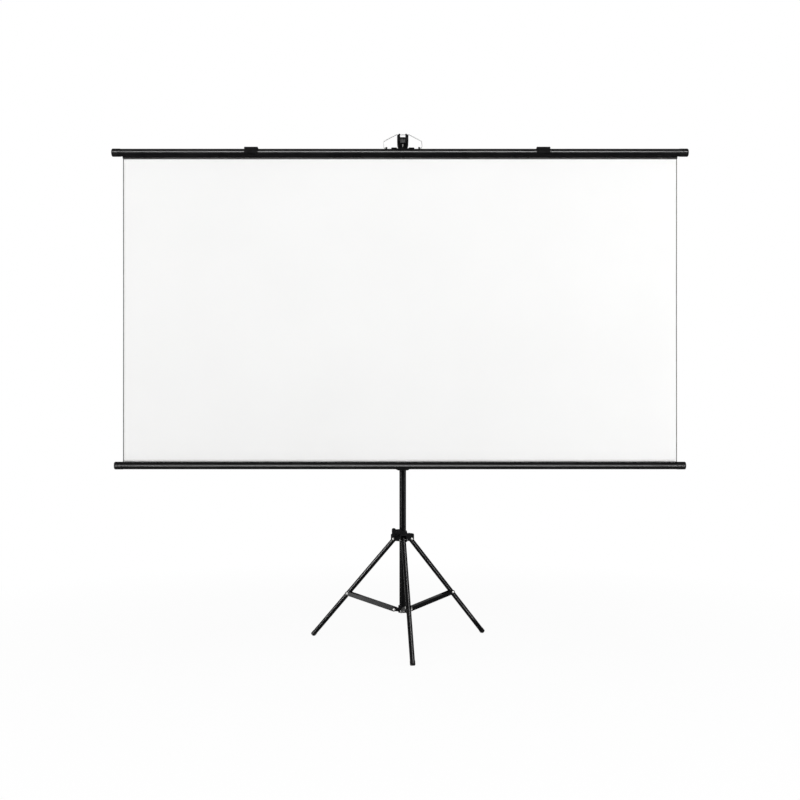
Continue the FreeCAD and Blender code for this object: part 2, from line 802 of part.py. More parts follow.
def head_screw():
    """A screw with a narrow upright head, through the bridge into the inner tube."""
    end_y = -(inner_mast_radius - inner_mast_wall) - seat_gap
    face_y = head_bridge_front_y
    shank = cylinder(head_screw_radius, end_y - face_y, V(0, end_y, head_screw_z), -BACK)
    head = stadium(head_screw_head_half_length, head_screw_head_radius, -head_screw_head_height, 0)
    head = round_edges(
        head,
        head_screw_head_edge,
        lambda edge: abs(edge.CenterOfMass.y + head_screw_head_height) < seat_gap,
    )
    head.rotate(ORIGIN, BACK, 90)
    head.translate(V(0, face_y, head_screw_z))
    return shank.fuse(head)


# Case, roller and fabric


def case_axis(x):
    return V(x, case_axis_y, case_axis_z)


def case_tube():
    """A round case with a slot behind its lowest line and a lip on each side of the slot."""
    tube = cylinder(case_radius, case_length, case_axis(case_left), ACROSS)
    slot_left = fabric_left - slot_margin
    slot_right = fabric_right + slot_margin
    lip_half = slot_width / 2 + lip_wall
    lips = block(
        (slot_left, slot_right),
        (fabric_y - lip_half, fabric_y + lip_half),
        (case_axis_z - lip_drop, case_axis_z),
    )
    slot = block(
        (slot_left, slot_right),
        (fabric_y - slot_width / 2, fabric_y + slot_width / 2),
        (case_axis_z - lip_drop - overrun, case_axis_z),
    )
    bore = cylinder(case_bore, case_length + 2 * overrun, case_axis(case_left - overrun), ACROSS)
    return tube.fuse(lips).cut([bore, slot])


def case_cap(side):
    """An end cap with a ring that enters the case and a journal for the roller."""
    face = case_right if side > 0 else case_left
    out = ACROSS * side
    body = cylinder(case_cap_radius, case_cap_length, case_axis(face), out)
    end = face + side * case_cap_length
    body = round_edges(body, case_cap_edge, lambda edge: abs(edge.CenterOfMass.x - end) < overrun / 2)
    ring = pipe(
        case_bore - seat_gap, case_bore - seat_gap - case_cap_ring, case_cap_spigot, case_axis(face), -out
    )
    gap = running_gap if side > 0 else seat_gap
    journal = cylinder(spindle_radius + gap, journal_depth + free_gap, case_axis(face), out)
    return body.fuse(ring).cut(journal)


def spring_spindle():
    """A fixed shaft in the left cap that carries the spring inside the roller."""
    start = case_left - journal_depth
    core_start = fabric_left + roller_plug_depth + free_gap
    stub = cylinder(spindle_radius, core_start - start, case_axis(start), ACROSS)
    return stub.fuse(cylinder(spindle_core_radius, spindle_core_length, case_axis(core_start), ACROSS))


def roller_spring():
    """The close-wound winding spring, as the sleeve that its coils fill."""
    start = fabric_left + roller_plug_depth + free_gap
    return pipe(spring_radius, spindle_core_radius + seat_gap, spring_length, case_axis(start), ACROSS)


def roller_tube():
    return pipe(roller_radius, roller_radius - roller_wall, fabric_width, case_axis(fabric_left), ACROSS)


def roller_plug_spring_end():
    radius = roller_radius - roller_wall - seat_gap
    plug = cylinder(radius, roller_plug_depth, case_axis(fabric_left), ACROSS)
    bore = cylinder(
        spindle_radius + running_gap,
        roller_plug_depth + 2 * overrun,
        case_axis(fabric_left - overrun),
        ACROSS,
    )
    return plug.cut(bore)


def roller_plug_idle_end():
    """The right end plug with the pin that turns in the right cap."""
    radius = roller_radius - roller_wall - seat_gap
    plug = cylinder(radius, roller_plug_depth, case_axis(fabric_right), -ACROSS)
    pin_length = case_right + journal_depth - fabric_right
    return plug.fuse(cylinder(spindle_radius, pin_length, case_axis(fabric_right), ACROSS))


def fabric_roll():
    """The last turns of fabric on the roller."""
    return pipe(roll_radius, roller_radius + seat_gap, fabric_width, case_axis(fabric_left), ACROSS)


def screen_fabric():
    half = fabric_thickness / 2
    return block(
        (fabric_left, fabric_right), (fabric_y - half, fabric_y + half), (fabric_bottom_z, case_axis_z)
    )


# Weight bar


def bar_axis(x):
    return V(x, fabric_y, weight_bar_z)


def weight_bar():
    """A round bar with a lipped slot along its top for the fabric."""
    tube = cylinder(weight_bar_radius, fabric_width, bar_axis(fabric_left), ACROSS)
    top = weight_bar_z + weight_bar_radius + weight_bar_lip
    lip_half = slot_width / 2 + lip_wall
    lips = block(
        (fabric_left, fabric_right), (fabric_y - lip_half, fabric_y + lip_half), (weight_bar_z, top)
    )
    slot = block(
        (fabric_left - overrun, fabric_right + overrun),
        (fabric_y - slot_width / 2, fabric_y + slot_width / 2),
        (weight_bar_z, top + overrun),
    )
    bore_start = bar_axis(fabric_left - overrun)
    bore = cylinder(weight_bar_radius - weight_bar_wall, fabric_width + 2 * overrun, bore_start, ACROSS)
    return tube.fuse(lips).cut([bore, slot])


def weight_bar_cap(side):
    face = fabric_right if side > 0 else fabric_left
    out = ACROSS * side
    body = cylinder(weight_bar_cap_radius, weight_bar_cap_length, bar_axis(face), out)
    end = face + side * weight_bar_cap_length
    body = round_edges(
        body, weight_bar_cap_edge, lambda edge: abs(edge.CenterOfMass.x - end) < overrun / 2
    )
    spigot_radius = weight_bar_radius - weight_bar_wall - seat_gap
    spigot = cylinder(spigot_radius, weight_bar_spigot, bar_axis(face), -out)
    bed_end = face - side * (weight_bar_spigot + overrun)
    rod_bed = block(
        (min(face, bed_end), max(face, bed_end)),
        (fabric_y - weight_bar_radius, fabric_y + weight_bar_radius),
        (fabric_rod_z() - hem_rod_radius - seat_gap, weight_bar_z + 2 * weight_bar_radius),
    )
    return body.fuse(spigot.cut(rod_bed))


def fabric_rod_z():
    """Height of the hem rod's axis, just below the sheet's lower edge."""
    return fabric_bottom_z - hem_rod_radius - seat_gap


def fabric_rod():
    return cylinder(hem_rod_radius, fabric_width, V(fabric_left, fabric_y, fabric_rod_z()), ACROSS)


# What hangs the case


def arc_sector(inner, outer, half_angle, x_start, x_end):
    """Part of a ring round the case's axis, centred on its top line."""
    ring = pipe(outer, inner, x_end - x_start, case_axis(x_start), ACROSS)
    reach = 2 * outer
    half = math.radians(half_angle)
    points = [(case_axis_y, case_axis_z)]
    for share in arc_shares:
        angle = share * half
        points.append((case_axis_y + reach * math.sin(angle), case_axis_z + reach * math.cos(angle)))
    return ring.common(prism_yz(points, x_start, x_end))


def hanger(share):
    """A snap-on clip over the case with a drilled block on top."""
    middle = share * case_length - screen_shift
    start = middle - hanger_length / 2
    end = start + hanger_length
    inner = case_radius + running_gap
    clip = arc_sector(inner, inner + hanger_wall, hanger_wrap_angle, start, end)
    top = case_top_z + hanger_top
    shoulder = block(
        (start, end), (case_axis_y - hanger_depth / 2, case_axis_y + hanger_depth / 2), (case_axis_z, top)
    )
    shoulder = round_edges(
        shoulder,
        hanger_edge,
        lambda edge: abs(edge.CenterOfMass.z - top) < hanger_edge / 2,
    )
    room = cylinder(inner, hanger_length + 2 * overrun, case_axis(start - overrun), ACROSS)
    hole = cylinder(
        hanger_hole_radius, 2 * hanger_depth,
        V(middle, case_axis_y - hanger_depth, case_top_z + hanger_hole_rise), BACK,
    )
    return clip.fuse(shoulder).cut([room, hole]).removeSplitter()


def bail():
    """One bent wire: turned-in feet, upright legs, slanted shoulders and a level top."""
    foot_x = bail_half_width - bail_foot_length
    half = [
        (foot_x, bail_pivot_z),
        (bail_half_width, bail_pivot_z),
        (bail_half_width, bail_corner_z),
        (bail_top_half_width, bail_top_z),
    ]
    corners = [V(-x, case_axis_y, z) for x, z in half] + [V(x, case_axis_y, z) for x, z in reversed(half)]
    foot_bend = bail_foot_length / 2 - bail_radius
    bends = [bail_bend_radius] * len(corners)
    bends[1] = foot_bend
    bends[-2] = foot_bend
    path = bent_wire(corners, bends)
    first = corners[0]
    section = Part.Wire(Part.makeCircle(bail_radius, first, ACROSS))
    return path.makePipeShell([section], True, False)


def bent_wire(corners, bends):
    """Straight runs joined by tangent arcs of the given radii."""
    edges = []
    start = corners[0]
    for before, corner, after, radius in zip(corners, corners[1:], corners[2:], bends[1:]):
        back = (before - corner).normalize()
        ahead = (after - corner).normalize()
        turn = math.pi - back.getAngle(ahead)
        reach = radius * math.tan(turn / 2)
        arc_start = corner + back * reach
        arc_end = corner + ahead * reach
        inward = (back + ahead).normalize()
        middle = corner + inward * (radius / math.cos(turn / 2) - radius)
        edges.append(Part.LineSegment(start, arc_start).toShape())
        edges.append(Part.Arc(arc_start, middle, arc_end).toShape())
        start = arc_end
    edges.append(Part.LineSegment(start, corners[-1]).toShape())
    return Part.Wire(edges)


def bail_clip(side):
    """A small bearing block on the case for one turned-in foot of the wire."""
    outer_x = bail_half_width - bail_radius - bail_clip_leg_gap - (bail_foot_length / 2 - bail_radius)
    inner_x = outer_x - bail_clip_length
    half = bail_clip_depth / 2
    top = case_top_z + bail_clip_top
    body = block((inner_x, outer_x), (case_axis_y - half, case_axis_y + half), (case_axis_z, top))
    corner = half / 2
    body = round_edges(
        body,
        corner,
        lambda edge: abs(edge.CenterOfMass.z - top) < seat_gap
        and abs(abs(edge.CenterOfMass.y - case_axis_y) - half) < seat_gap,
    )
    room_start = case_axis(inner_x - bail_clip_length / 2)
    room = cylinder(case_radius + seat_gap, 2 * bail_clip_length, room_start, ACROSS)
    bearing = cylinder(
        bail_radius + running_gap, 2 * bail_clip_length,
        V(inner_x - bail_clip_length / 2, case_axis_y, bail_pivot_z), ACROSS,
    )
    clip = body.cut([room, bearing])
    return clip if side > 0 else clip.mirror(ORIGIN, ACROSS)


def bail_saddle():
    """A thin saddle on the case with a raised pad at each end, rounded where a pad starts and stops."""
    inner = case_radius + seat_gap
    thin = arc_sector(
        inner, inner + saddle_wall, saddle_half_angle, -saddle_half_length, saddle_half_length
    )
    pads = []
    for start in (-saddle_half_length, saddle_half_length - saddle_pad_length):
        pad = arc_sector(
            inner, inner + saddle_pad_rise, saddle_half_angle / 2, start, start + saddle_pad_length
        )
        ends = (start, start + saddle_pad_length)
        crown = case_top_z + saddle_pad_rise / 2
        pad = round_edges(
            pad,
            saddle_pad_edge,
            lambda edge: min(abs(edge.CenterOfMass.x - end) for end in ends) < seat_gap
            and edge.CenterOfMass.z > crown,
        )
        pads.append(pad)
    return thin.fuse(pads).removeSplitter()


def pieces():
    """Every node's name and solid, about the mast's axis."""
    found = {
        "mast_lower_tube": mast_lower_tube(),
        "brace_hub": brace_hub(),
        "brace_hub_rivets": brace_hub_rivets(),
        "clamp_collar": clamp_collar(),
        "clamp_bush": clamp_bush(),
        "bar_cradle": bar_cradle(),
        "cradle_screw": cradle_screw(),
        "leg_hub": leg_hub(),
        "leg_rivets": leg_rivets(),
        "hub_knob": hub_knob(),
        "hub_knob_stud": hub_knob_stud(),
        "clamp_knob": clamp_knob(),
        "clamp_knob_stud": clamp_knob_stud(),
        "mast_upper_tube": mast_upper_tube(),
        "upper_tube_guide": upper_tube_guide(),
        "mast_head": mast_head(),
        "head_screw": head_screw(),
        "case_tube": case_tube(),
        "case_cap_left": case_cap(-1),
        "case_cap_right": case_cap(1),
        "spring_spindle": spring_spindle(),
        "roller_spring": roller_spring(),
        "roller_tube": roller_tube(),
        "roller_plug_spring_end": roller_plug_spring_end(),
        "roller_plug_idle_end": roller_plug_idle_end(),
        "fabric_roll": fabric_roll(),
        "screen_fabric": screen_fabric(),
        "weight_bar": weight_bar(),
        "weight_bar_cap_left": weight_bar_cap(-1),
        "weight_bar_cap_right": weight_bar_cap(1),
        "fabric_rod": fabric_rod(),
        "bail": bail(),
        "bail_clip_left": bail_clip(-1),
        "bail_clip_right": bail_clip(1),
        "bail_saddle": bail_saddle(),
    }
    for name, azimuth in zip(leg_names, leg_azimuths):
        found["leg_tube_" + name] = leg_tube(azimuth)
        found["leg_top_plug_" + name] = leg_top_plug(azimuth)
        found["foot_" + name] = foot(azimuth)
        found["brace_" + name] = brace(azimuth)
        found["brace_rivets_" + name] = brace_rivets(azimuth)
    for name, share in hanger_shares:
        found[name] = hanger(share)
    return found


def main():
    os.makedirs("parts", exist_ok=True)
    for name, shape in pieces().items():
        shape.translate(V(mast_x, mast_y, 0))
        shape.exportStep("parts/" + name + ".step")
        print(name, "solids", len(shape.Solids), "volume", round(shape.Volume), "valid", shape.isValid())


if __name__ == "__main__":
    main()
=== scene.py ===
import math

import bpy
import numpy as np
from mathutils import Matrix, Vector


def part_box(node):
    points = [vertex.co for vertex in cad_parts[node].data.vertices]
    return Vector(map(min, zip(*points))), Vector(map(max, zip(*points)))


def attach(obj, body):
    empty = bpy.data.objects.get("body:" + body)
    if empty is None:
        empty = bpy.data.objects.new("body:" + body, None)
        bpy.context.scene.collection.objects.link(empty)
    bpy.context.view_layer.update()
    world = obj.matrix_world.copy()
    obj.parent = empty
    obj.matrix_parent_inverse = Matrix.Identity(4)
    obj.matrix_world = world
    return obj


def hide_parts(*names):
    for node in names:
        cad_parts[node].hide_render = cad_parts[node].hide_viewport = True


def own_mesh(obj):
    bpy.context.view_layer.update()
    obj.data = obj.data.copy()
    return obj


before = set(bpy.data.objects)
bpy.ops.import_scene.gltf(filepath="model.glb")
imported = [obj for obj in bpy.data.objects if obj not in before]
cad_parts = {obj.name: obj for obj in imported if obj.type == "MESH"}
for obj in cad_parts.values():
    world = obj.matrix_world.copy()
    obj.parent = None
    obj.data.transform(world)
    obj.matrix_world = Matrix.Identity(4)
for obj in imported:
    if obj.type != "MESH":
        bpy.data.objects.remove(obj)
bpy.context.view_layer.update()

bl_info = {
    "name": "Tripod projection screen looks",
    "version": (1, 0, 0),
    "blender": (4, 5, 0),
    "location": "3D View > Sidebar > Screen",
    "description": "Hangs the sheet, winds its roll, finishes every piece and sets the stage",
    "category": "Object",
}

SHEET_LOW, SHEET_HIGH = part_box("screen_fabric")
ROLL_LOW, ROLL_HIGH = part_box("fabric_roll")
CASE_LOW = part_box("case_tube")[0]
ROLLER_LOW, ROLLER_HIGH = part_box("roller_tube")

TUBES_ALONG_X = ("case_tube", "weight_bar")
TUBES_ALONG_Z = ("mast_lower_tube", "mast_upper_tube")
LEG_TUBES = ("leg_tube_1", "leg_tube_2", "leg_tube_3")
BRACES = ("brace_1", "brace_2", "brace_3")
MOULDINGS = (
    "leg_hub", "brace_hub", "clamp_collar", "bar_cradle", "mast_head", "hub_knob", "clamp_knob",
    "bail_clip_left", "bail_clip_right", "bail_saddle", "hanger_left", "hanger_right",
    "leg_top_plug_1", "leg_top_plug_2", "leg_top_plug_3",
)
BAR_CAPS = ("case_cap_left", "case_cap_right", "weight_bar_cap_left", "weight_bar_cap_right")
INNER_PLASTICS = ("clamp_bush", "upper_tube_guide", "roller_plug_spring_end", "roller_plug_idle_end")
FEET = ("foot_1", "foot_2", "foot_3")
RIVETS = (
    "leg_rivets", "brace_hub_rivets", "brace_rivets_1", "brace_rivets_2", "brace_rivets_3",
    "cradle_screw", "hub_knob_stud", "clamp_knob_stud",
)
SCREWS = ("head_screw",)
WIRES = ("bail",)
ROLLER_METALS = ("roller_tube", "spring_spindle", "roller_spring", "fabric_rod")

# The way that the head's sloped panel looks, and how near to it a face of the panel has to look. These faces
# take a grey that is painted sheen, standing in for the light that the slope catches.
PANEL_FACING = (0.0, -0.964, 0.268)
SAME_WAY = 0.999

# Metres: how much narrower the sheet is than its solid, and the radius of the mouldings' rounded edges.
CAP_CLEARANCE = 0.0012
EDGE_RADIUS = 0.0011

# The roll: grid steps in one turn, and the share of a layer that is sheet, the rest being air.
ROLL_STEPS = 96
ROLL_LAYER_SHARE = 0.96

# Half the width, as a share of the sheet, over which the edge line and the black top blend into the white.
EDGE_LINE_BLUR = 0.00005
TOP_LINE_BLUR = 0.0002

# How strongly the finishes mirror.
COAT_GLOSS = 0.03
PLASTIC_GLOSS = 0.03
RUBBER_GLOSS = 0.05
SHEET_GLOSS = 0.15

# The sockets of a Mix node that mixes colours.
MIX_FACTOR = 0
MIX_COLOUR_A = 6
MIX_COLOUR_B = 7
MIX_RESULT = 2

# The floor's share of white to the camera near the object, and from where to where that share grows to 1,
# in metres from the middle.
FLOOR_GLOW = 0.94
SHADOW_NEAR = 0.9
SHADOW_FAR = 2.6

# The white of the background, and the width of the camera's sensor in millimetres.
WHITE = (1.0, 1.0, 1.0, 1.0)
SENSOR_WIDTH = 36.0

# The soft boxes: name, the stage's power that it takes, its share of that, size, place and the height of its
# aim on the sheet. Places have their depth from the sheet, and forward is negative.
SOFT_BOXES = (
    ("soft_box_right", "side_power", 1.3, (1.0, 2.6), (3.6, -1.65, 1.5), 1.0),
    ("soft_box_left", "side_power", 0.8, (1.0, 2.6), (-3.6, -1.65, 1.5), 1.0),
    ("soft_box_top", "top_power", 1.0, (4.6, 1.2), (0.0, -4.083, 3.2), 1.3),
)

# The strip lights that make the gleams: name, share of the strip level, size, place, aim and the pieces
# that they light. Places and aims have their depth from the sheet, and forward is negative.
GLEAM_STRIPS = (
    ("strip_case", 4.0, (4.6, 0.54), (0.0, -4.0, 3.48), (0.0, 0.0, 1.95),
     ("case_tube", "case_cap_left", "case_cap_right")),
    ("strip_bar", 2.7, (4.6, 0.6), (0.0, -4.0, 0.38), (0.0, 0.0, 0.72),
     ("weight_bar", "weight_bar_cap_left", "weight_bar_cap_right")),
    ("strip_bar_soft", 0.09, (4.6, 2.4), (0.0, -4.0, 2.4), (0.0, 0.0, 0.72),
     ("weight_bar", "weight_bar_cap_left", "weight_bar_cap_right")),
    ("strip_mast_left", 0.5, (0.6, 1.2), (-2.94, -1.7, 0.6), (0.0, 0.0, 0.6), TUBES_ALONG_Z),
    ("strip_mast_right", 0.25, (0.6, 1.2), (2.94, -1.7, 0.6), (0.0, 0.0, 0.6), TUBES_ALONG_Z),
    ("strip_left_leg", 2.2, (0.7, 0.9), (-2.82, -1.27, 0.46), (-0.2, 0.15, 0.2), ("leg_tube_3", "foot_3")),
    ("strip_left_brace", 0.45, (0.5, 0.2), (-0.62, -0.16, 0.1), (-0.12, 0.15, 0.16), ("brace_3",)),
    ("strip_right_leg", 0.8, (0.2, 0.8), (0.62, -0.47, 0.02), (0.653, -0.564, 1.02),
     ("leg_tube_2", "foot_2")),
    ("strip_right_foot", 0.7, (0.08, 0.33), (0.44, 0.06, 0.02), (0.47, -0.035, 1.02),
     ("leg_tube_2", "foot_2")),
    ("strip_front_leg", 0.7, (1.0, 1.5), (1.4, -0.9, 3.2), (0.03, -0.15, 0.2), ("leg_tube_1", "foot_1")),
)


class SheetSizes(bpy.types.PropertyGroup):
    """Sizes of the hanging sheet and of its last turns on the roller."""

    width: bpy.props.FloatProperty(
        name="Width", description="Width of the sheet between its cut edges, just clear of the bar's caps",
        default=SHEET_HIGH.x - SHEET_LOW.x - CAP_CLEARANCE, unit="LENGTH")
    drop: bpy.props.FloatProperty(
        name="Drop", description="Length from the roller down to the rod in the bar",
        default=SHEET_HIGH.z - SHEET_LOW.z, unit="LENGTH")
    thickness: bpy.props.FloatProperty(
        name="Thickness", description="Thickness of the coated sheet",
        default=SHEET_HIGH.y - SHEET_LOW.y, unit="LENGTH", precision=5)
    edge_band: bpy.props.FloatProperty(
        name="Edge band", description="Width of the dark line along each cut edge",
        default=0.003, unit="LENGTH", precision=4)
    top_band: bpy.props.FloatProperty(
        name="Top band", description="How far the black top of the sheet shows under the case",
        default=0.0025, unit="LENGTH", precision=4)
    edge_curl: bpy.props.FloatProperty(
        name="Edge curl", description="How far the middle of a free edge curls back",
        default=0.003, unit="LENGTH", precision=4)
    wave: bpy.props.FloatProperty(
        name="Wave", description="Height of the slow waves across the sheet",
        default=0.0005, unit="LENGTH", precision=5)
    columns: bpy.props.IntProperty(
        name="Columns", description="Grid cells across the sheet", default=160, min=8)
    rows: bpy.props.IntProperty(
        name="Rows", description="Grid cells down the sheet", default=90, min=8)


class FinishColours(bpy.types.PropertyGroup):
    """Colours of the finishes."""

    tube_black: bpy.props.FloatVectorProperty(
        name="Tube coat", description="Powder coat on the mast, case and bar",
        subtype="COLOR", size=4, default=(0.003, 0.003, 0.0034, 1.0))
    leg_black: bpy.props.FloatVectorProperty(
        name="Leg paint", description="Paint on the legs and braces",
        subtype="COLOR", size=4, default=(0.003, 0.003, 0.0034, 1.0))
    moulding_black: bpy.props.FloatVectorProperty(
        name="Mouldings", description="Black plastic of the hubs, caps and clips",
        subtype="COLOR", size=4, default=(0.004, 0.004, 0.0045, 1.0))
    rubber_black: bpy.props.FloatVectorProperty(
        name="Feet", description="Rubber of the feet",
        subtype="COLOR", size=4, default=(0.005, 0.005, 0.005, 1.0))
    inner_plastic: bpy.props.FloatVectorProperty(
        name="Inner plastic", description="Bushes and plugs inside the tubes",
        subtype="COLOR", size=4, default=(0.45, 0.45, 0.44, 1.0))
    rivet_metal: bpy.props.FloatVectorProperty(
        name="Rivets", description="Nickel plate of the rivets, screws and studs",
        subtype="COLOR", size=4, default=(0.56, 0.555, 0.54, 1.0))
    wire_metal: bpy.props.FloatVectorProperty(
        name="Bail wire", description="Bright plate of the bail wire",
        subtype="COLOR", size=4, default=(0.42, 0.42, 0.42, 1.0))
    screw_metal: bpy.props.FloatVectorProperty(
        name="Head screw", description="Dull zinc of the screw in the hook head",
        subtype="COLOR", size=4, default=(0.38, 0.375, 0.36, 1.0))
    # Head panel: a grey painted sheen on the head's sloped panel, standing in for the light that the slope
    # catches.
    panel_painted_sheen: bpy.props.FloatVectorProperty(
        name="Head panel", description="Polished slope in the front of the hook head",
        subtype="COLOR", size=4, default=(0.19, 0.19, 0.19, 1.0))
    roller_metal: bpy.props.FloatVectorProperty(
        name="Roller", description="Mill finish of the roller and its spindle",
        subtype="COLOR", size=4, default=(0.58, 0.58, 0.60, 1.0))
    sheet_white: bpy.props.FloatVectorProperty(
        name="Sheet front", description="Matte white coat of the picture side",
        subtype="COLOR", size=4, default=(0.90, 0.90, 0.895, 1.0))
    sheet_back: bpy.props.FloatVectorProperty(
        name="Sheet back", description="Black coat of the back",
        subtype="COLOR", size=4, default=(0.014, 0.014, 0.015, 1.0))
    sheet_edge: bpy.props.FloatVectorProperty(
        name="Sheet edge", description="Dark line along the cut edges",
        subtype="COLOR", size=4, default=(0.03, 0.03, 0.03, 1.0))


class StageSettings(bpy.types.PropertyGroup):
    """Camera, lamps and floor."""

    lens: bpy.props.FloatProperty(
        name="Lens", description="Focal length on a 36 mm sensor", default=55.0, unit="CAMERA")
    camera_distance: bpy.props.FloatProperty(
        name="Camera distance", description="From the sheet to the camera", default=4.883, unit="LENGTH")
    camera_height: bpy.props.FloatProperty(
        name="Camera height", description="Above the floor", default=0.984, unit="LENGTH")
    floor_size: bpy.props.FloatProperty(
        name="Floor size", description="Side of the floor", default=60.0, unit="LENGTH")
    floor_white: bpy.props.FloatVectorProperty(
        name="Floor", description="Colour of the floor",
        subtype="COLOR", size=4, default=(0.92, 0.92, 0.92, 1.0))
    world_level: bpy.props.FloatProperty(
        name="World level", description="Soft light from all round", default=0.3)
    side_power: bpy.props.FloatProperty(
        name="Side lamps", description="Power that each tall soft box takes its share of",
        default=32.0, unit="POWER")
    strip_level: bpy.props.FloatProperty(
        name="Strip level", description="Watts for each square metre of the strips that only make gleams",
        default=400.0)
    top_power: bpy.props.FloatProperty(
        name="Top lamp", description="Power of the long soft box above the camera",
        default=110.0, unit="POWER")


def colour_of(name):
    """One of the finish colours as a plain tuple."""
    return tuple(getattr(bpy.context.scene.screen_colours, name))


def mesh_object(name, vertices, faces):
    """A mesh object at the origin, from whole arrays of vertices and faces, shaded smooth."""
    mesh = bpy.data.meshes.new(name)
    mesh.from_pydata(vertices.tolist(), [], faces.tolist())
    mesh.polygons.foreach_set("use_smooth", np.ones(len(mesh.polygons), dtype=bool))
    mesh.update()
    made = bpy.data.objects.new(name, mesh)
    bpy.context.scene.collection.objects.link(made)
    return made


def grid_faces(rows, columns):
    """Quads of a grid of rows by columns cells, wound so that they face -Y where columns run along +X
    and rows run down."""
    across = columns + 1
    first = (np.arange(rows)[:, None] * across + np.arange(columns)[None, :]).reshape(-1)
    return np.stack([first, first + across, first + across + 1, first + 1], axis=1)


def grid_uv(piece, share_across, share_along):
    """A UV map whose two values are given for each vertex."""
    mesh = piece.data
    layer = mesh.uv_layers.new(name="UVMap")
    corner = np.zeros(len(mesh.loops), dtype=np.int32)
    mesh.loops.foreach_get("vertex_index", corner)
    shares = np.stack([share_across[corner], share_along[corner]], axis=1)
    layer.data.foreach_set("uv", shares.reshape(-1).astype(np.float32))


def add_node(tree, kind, values=None, **settings):
    """A node of a tree, with its settings and its input values."""
    node = tree.nodes.new(kind)
    for setting, value in settings.items():
        setattr(node, setting, value)
    for socket, value in (values or {}).items():
        node.inputs[socket].default_value = value
    return node


class FinishNodes:
    """A material's nodes round one surface shader, with short calls to add and join them."""

    def __init__(self, name):
        self.material = bpy.data.materials.new(name)
        self.material.use_nodes = True
        self.tree = self.material.node_tree
        self.tree.nodes.clear()
        self.output = self.add("ShaderNodeOutputMaterial")
        self.surface = self.add("ShaderNodeBsdfPrincipled")
        self.join(self.surface, "BSDF", self.output, "Surface")
        self.place = self.add("ShaderNodeTexCoord")

    def add(self, kind, values=None, **settings):
        """A node of this material."""
        return add_node(self.tree, kind, values, **settings)

    def join(self, source, out_name, target, in_name):
        """A link between two sockets."""
        self.tree.links.new(source.outputs[out_name], target.inputs[in_name])

    def noise(self, scale, detail=3.0, roughness=0.5, stretch=(1.0, 1.0, 1.0)):
        """Noise of so many waves to the metre, drawn out along an axis by a small stretch share."""
        mapping = self.add("ShaderNodeMapping", {"Scale": stretch})
        self.join(self.place, "Object", mapping, "Vector")
        texture = self.add("ShaderNodeTexNoise", {"Scale": scale, "Detail": detail, "Roughness": roughness})
        self.join(mapping, "Vector", texture, "Vector")
        return texture

    def ranged(self, source, out_name, low, high, to_low=0.0, to_high=1.0):
        """A value mapped from one range onto another, held at both ends."""
        node = self.add(
            "ShaderNodeMapRange",
            {"From Min": low, "From Max": high, "To Min": to_low, "To Max": to_high})
        self.join(source, out_name, node, "Value")
        return node

    def product(self, first, second):
        """The product of two mapped values."""
        node = self.add("ShaderNodeMath", operation="MULTIPLY")
        self.join(first, "Result", node, 0)
        self.join(second, "Result", node, 1)
        return self.ranged(node, "Value", 0.0, 1.0)

    def mixed(self, factor, colour_a, colour_b):
        """Colour a where the factor is 0 and colour b where it is 1. A colour is a tuple or a node."""
        node = self.add("ShaderNodeMix", data_type="RGBA")
        self.tree.links.new(factor.outputs["Result"], node.inputs[MIX_FACTOR])
        for index, colour in ((MIX_COLOUR_A, colour_a), (MIX_COLOUR_B, colour_b)):
            if isinstance(colour, tuple):
                node.inputs[index].default_value = colour
            else:
                self.tree.links.new(colour.outputs[MIX_RESULT], node.inputs[index])
        return node

    def bumped(self, source, strength, distance, under=None):
        """A bump from a noise, on top of another bump or a bevel's normal where one is given."""
        node = self.add("ShaderNodeBump", {"Strength": strength, "Distance": distance})
        self.join(source, "Fac", node, "Height")
        if under is not None:
            self.join(under, "Normal", node, "Normal")
        return node

    def edge_mask(self, radius):
        """(mask, bevel): 1 within about a radius of a sharp edge, where a rounded normal leaves the true
        one."""
        bevel = self.add("ShaderNodeBevel", {"Radius": radius}, samples=6)
        true_normal = self.add("ShaderNodeNewGeometry")
        dot = self.add("ShaderNodeVectorMath", operation="DOT_PRODUCT")
        self.join(bevel, "Normal", dot, 0)
        self.join(true_normal, "True Normal", dot, 1)
        return self.ranged(dot, "Value", 0.97, 0.80), bevel

    def set_colour(self, mix):
        """The mix node's colour goes to the surface."""
        self.tree.links.new(mix.outputs[MIX_RESULT], self.surface.inputs["Base Color"])

    def set_roughness(self, texture, low, high):
        """The surface's roughness goes from low to high with a noise."""
        rough = self.ranged(texture, "Fac", 0.3, 0.7, low, high)
        self.join(rough, "Result", self.surface, "Roughness")

    def set_bump(self, bump):
        """The bump's normal goes to the surface."""
        self.join(bump, "Normal", self.surface, "Normal")

    def set_gloss(self, level):
        """How strongly a surface that isn't metal mirrors."""
        self.surface.inputs["Specular IOR Level"].default_value = level


def lighter(colour, share):
    """A colour moved towards white by a share."""
    return tuple(value + (1.0 - value) * share for value in colour[:3]) + (1.0,)


def darker(colour, share):
    """A colour times a share."""
    return tuple(value * share for value in colour[:3]) + (1.0,)


def coated_tube(name, colour, stretch, roughness):
    """Satin powder coat: fine orange peel, long faint rub marks along the tube and patches of dust."""
    nodes = FinishNodes(name)
    peel = nodes.noise(850.0, detail=2.0)
    rub = nodes.noise(260.0, detail=4.0, roughness=0.65, stretch=stretch)
    patch = nodes.noise(9.0, detail=5.0, roughness=0.6)
    dust = nodes.ranged(patch, "Fac", 0.48, 0.72)
    rubbed = nodes.ranged(rub, "Fac", 0.60, 0.78)
    dusty = nodes.mixed(dust, colour, lighter(colour, 0.003))
    nodes.set_colour(nodes.mixed(rubbed, dusty, lighter(colour, 0.007)))
    nodes.set_roughness(patch, roughness - 0.06, roughness + 0.09)
    marks = nodes.bumped(rub, 0.01, 0.0002)
    nodes.set_bump(nodes.bumped(peel, 0.018, 0.0003, marks))
    nodes.set_gloss(COAT_GLOSS)
    return nodes.material


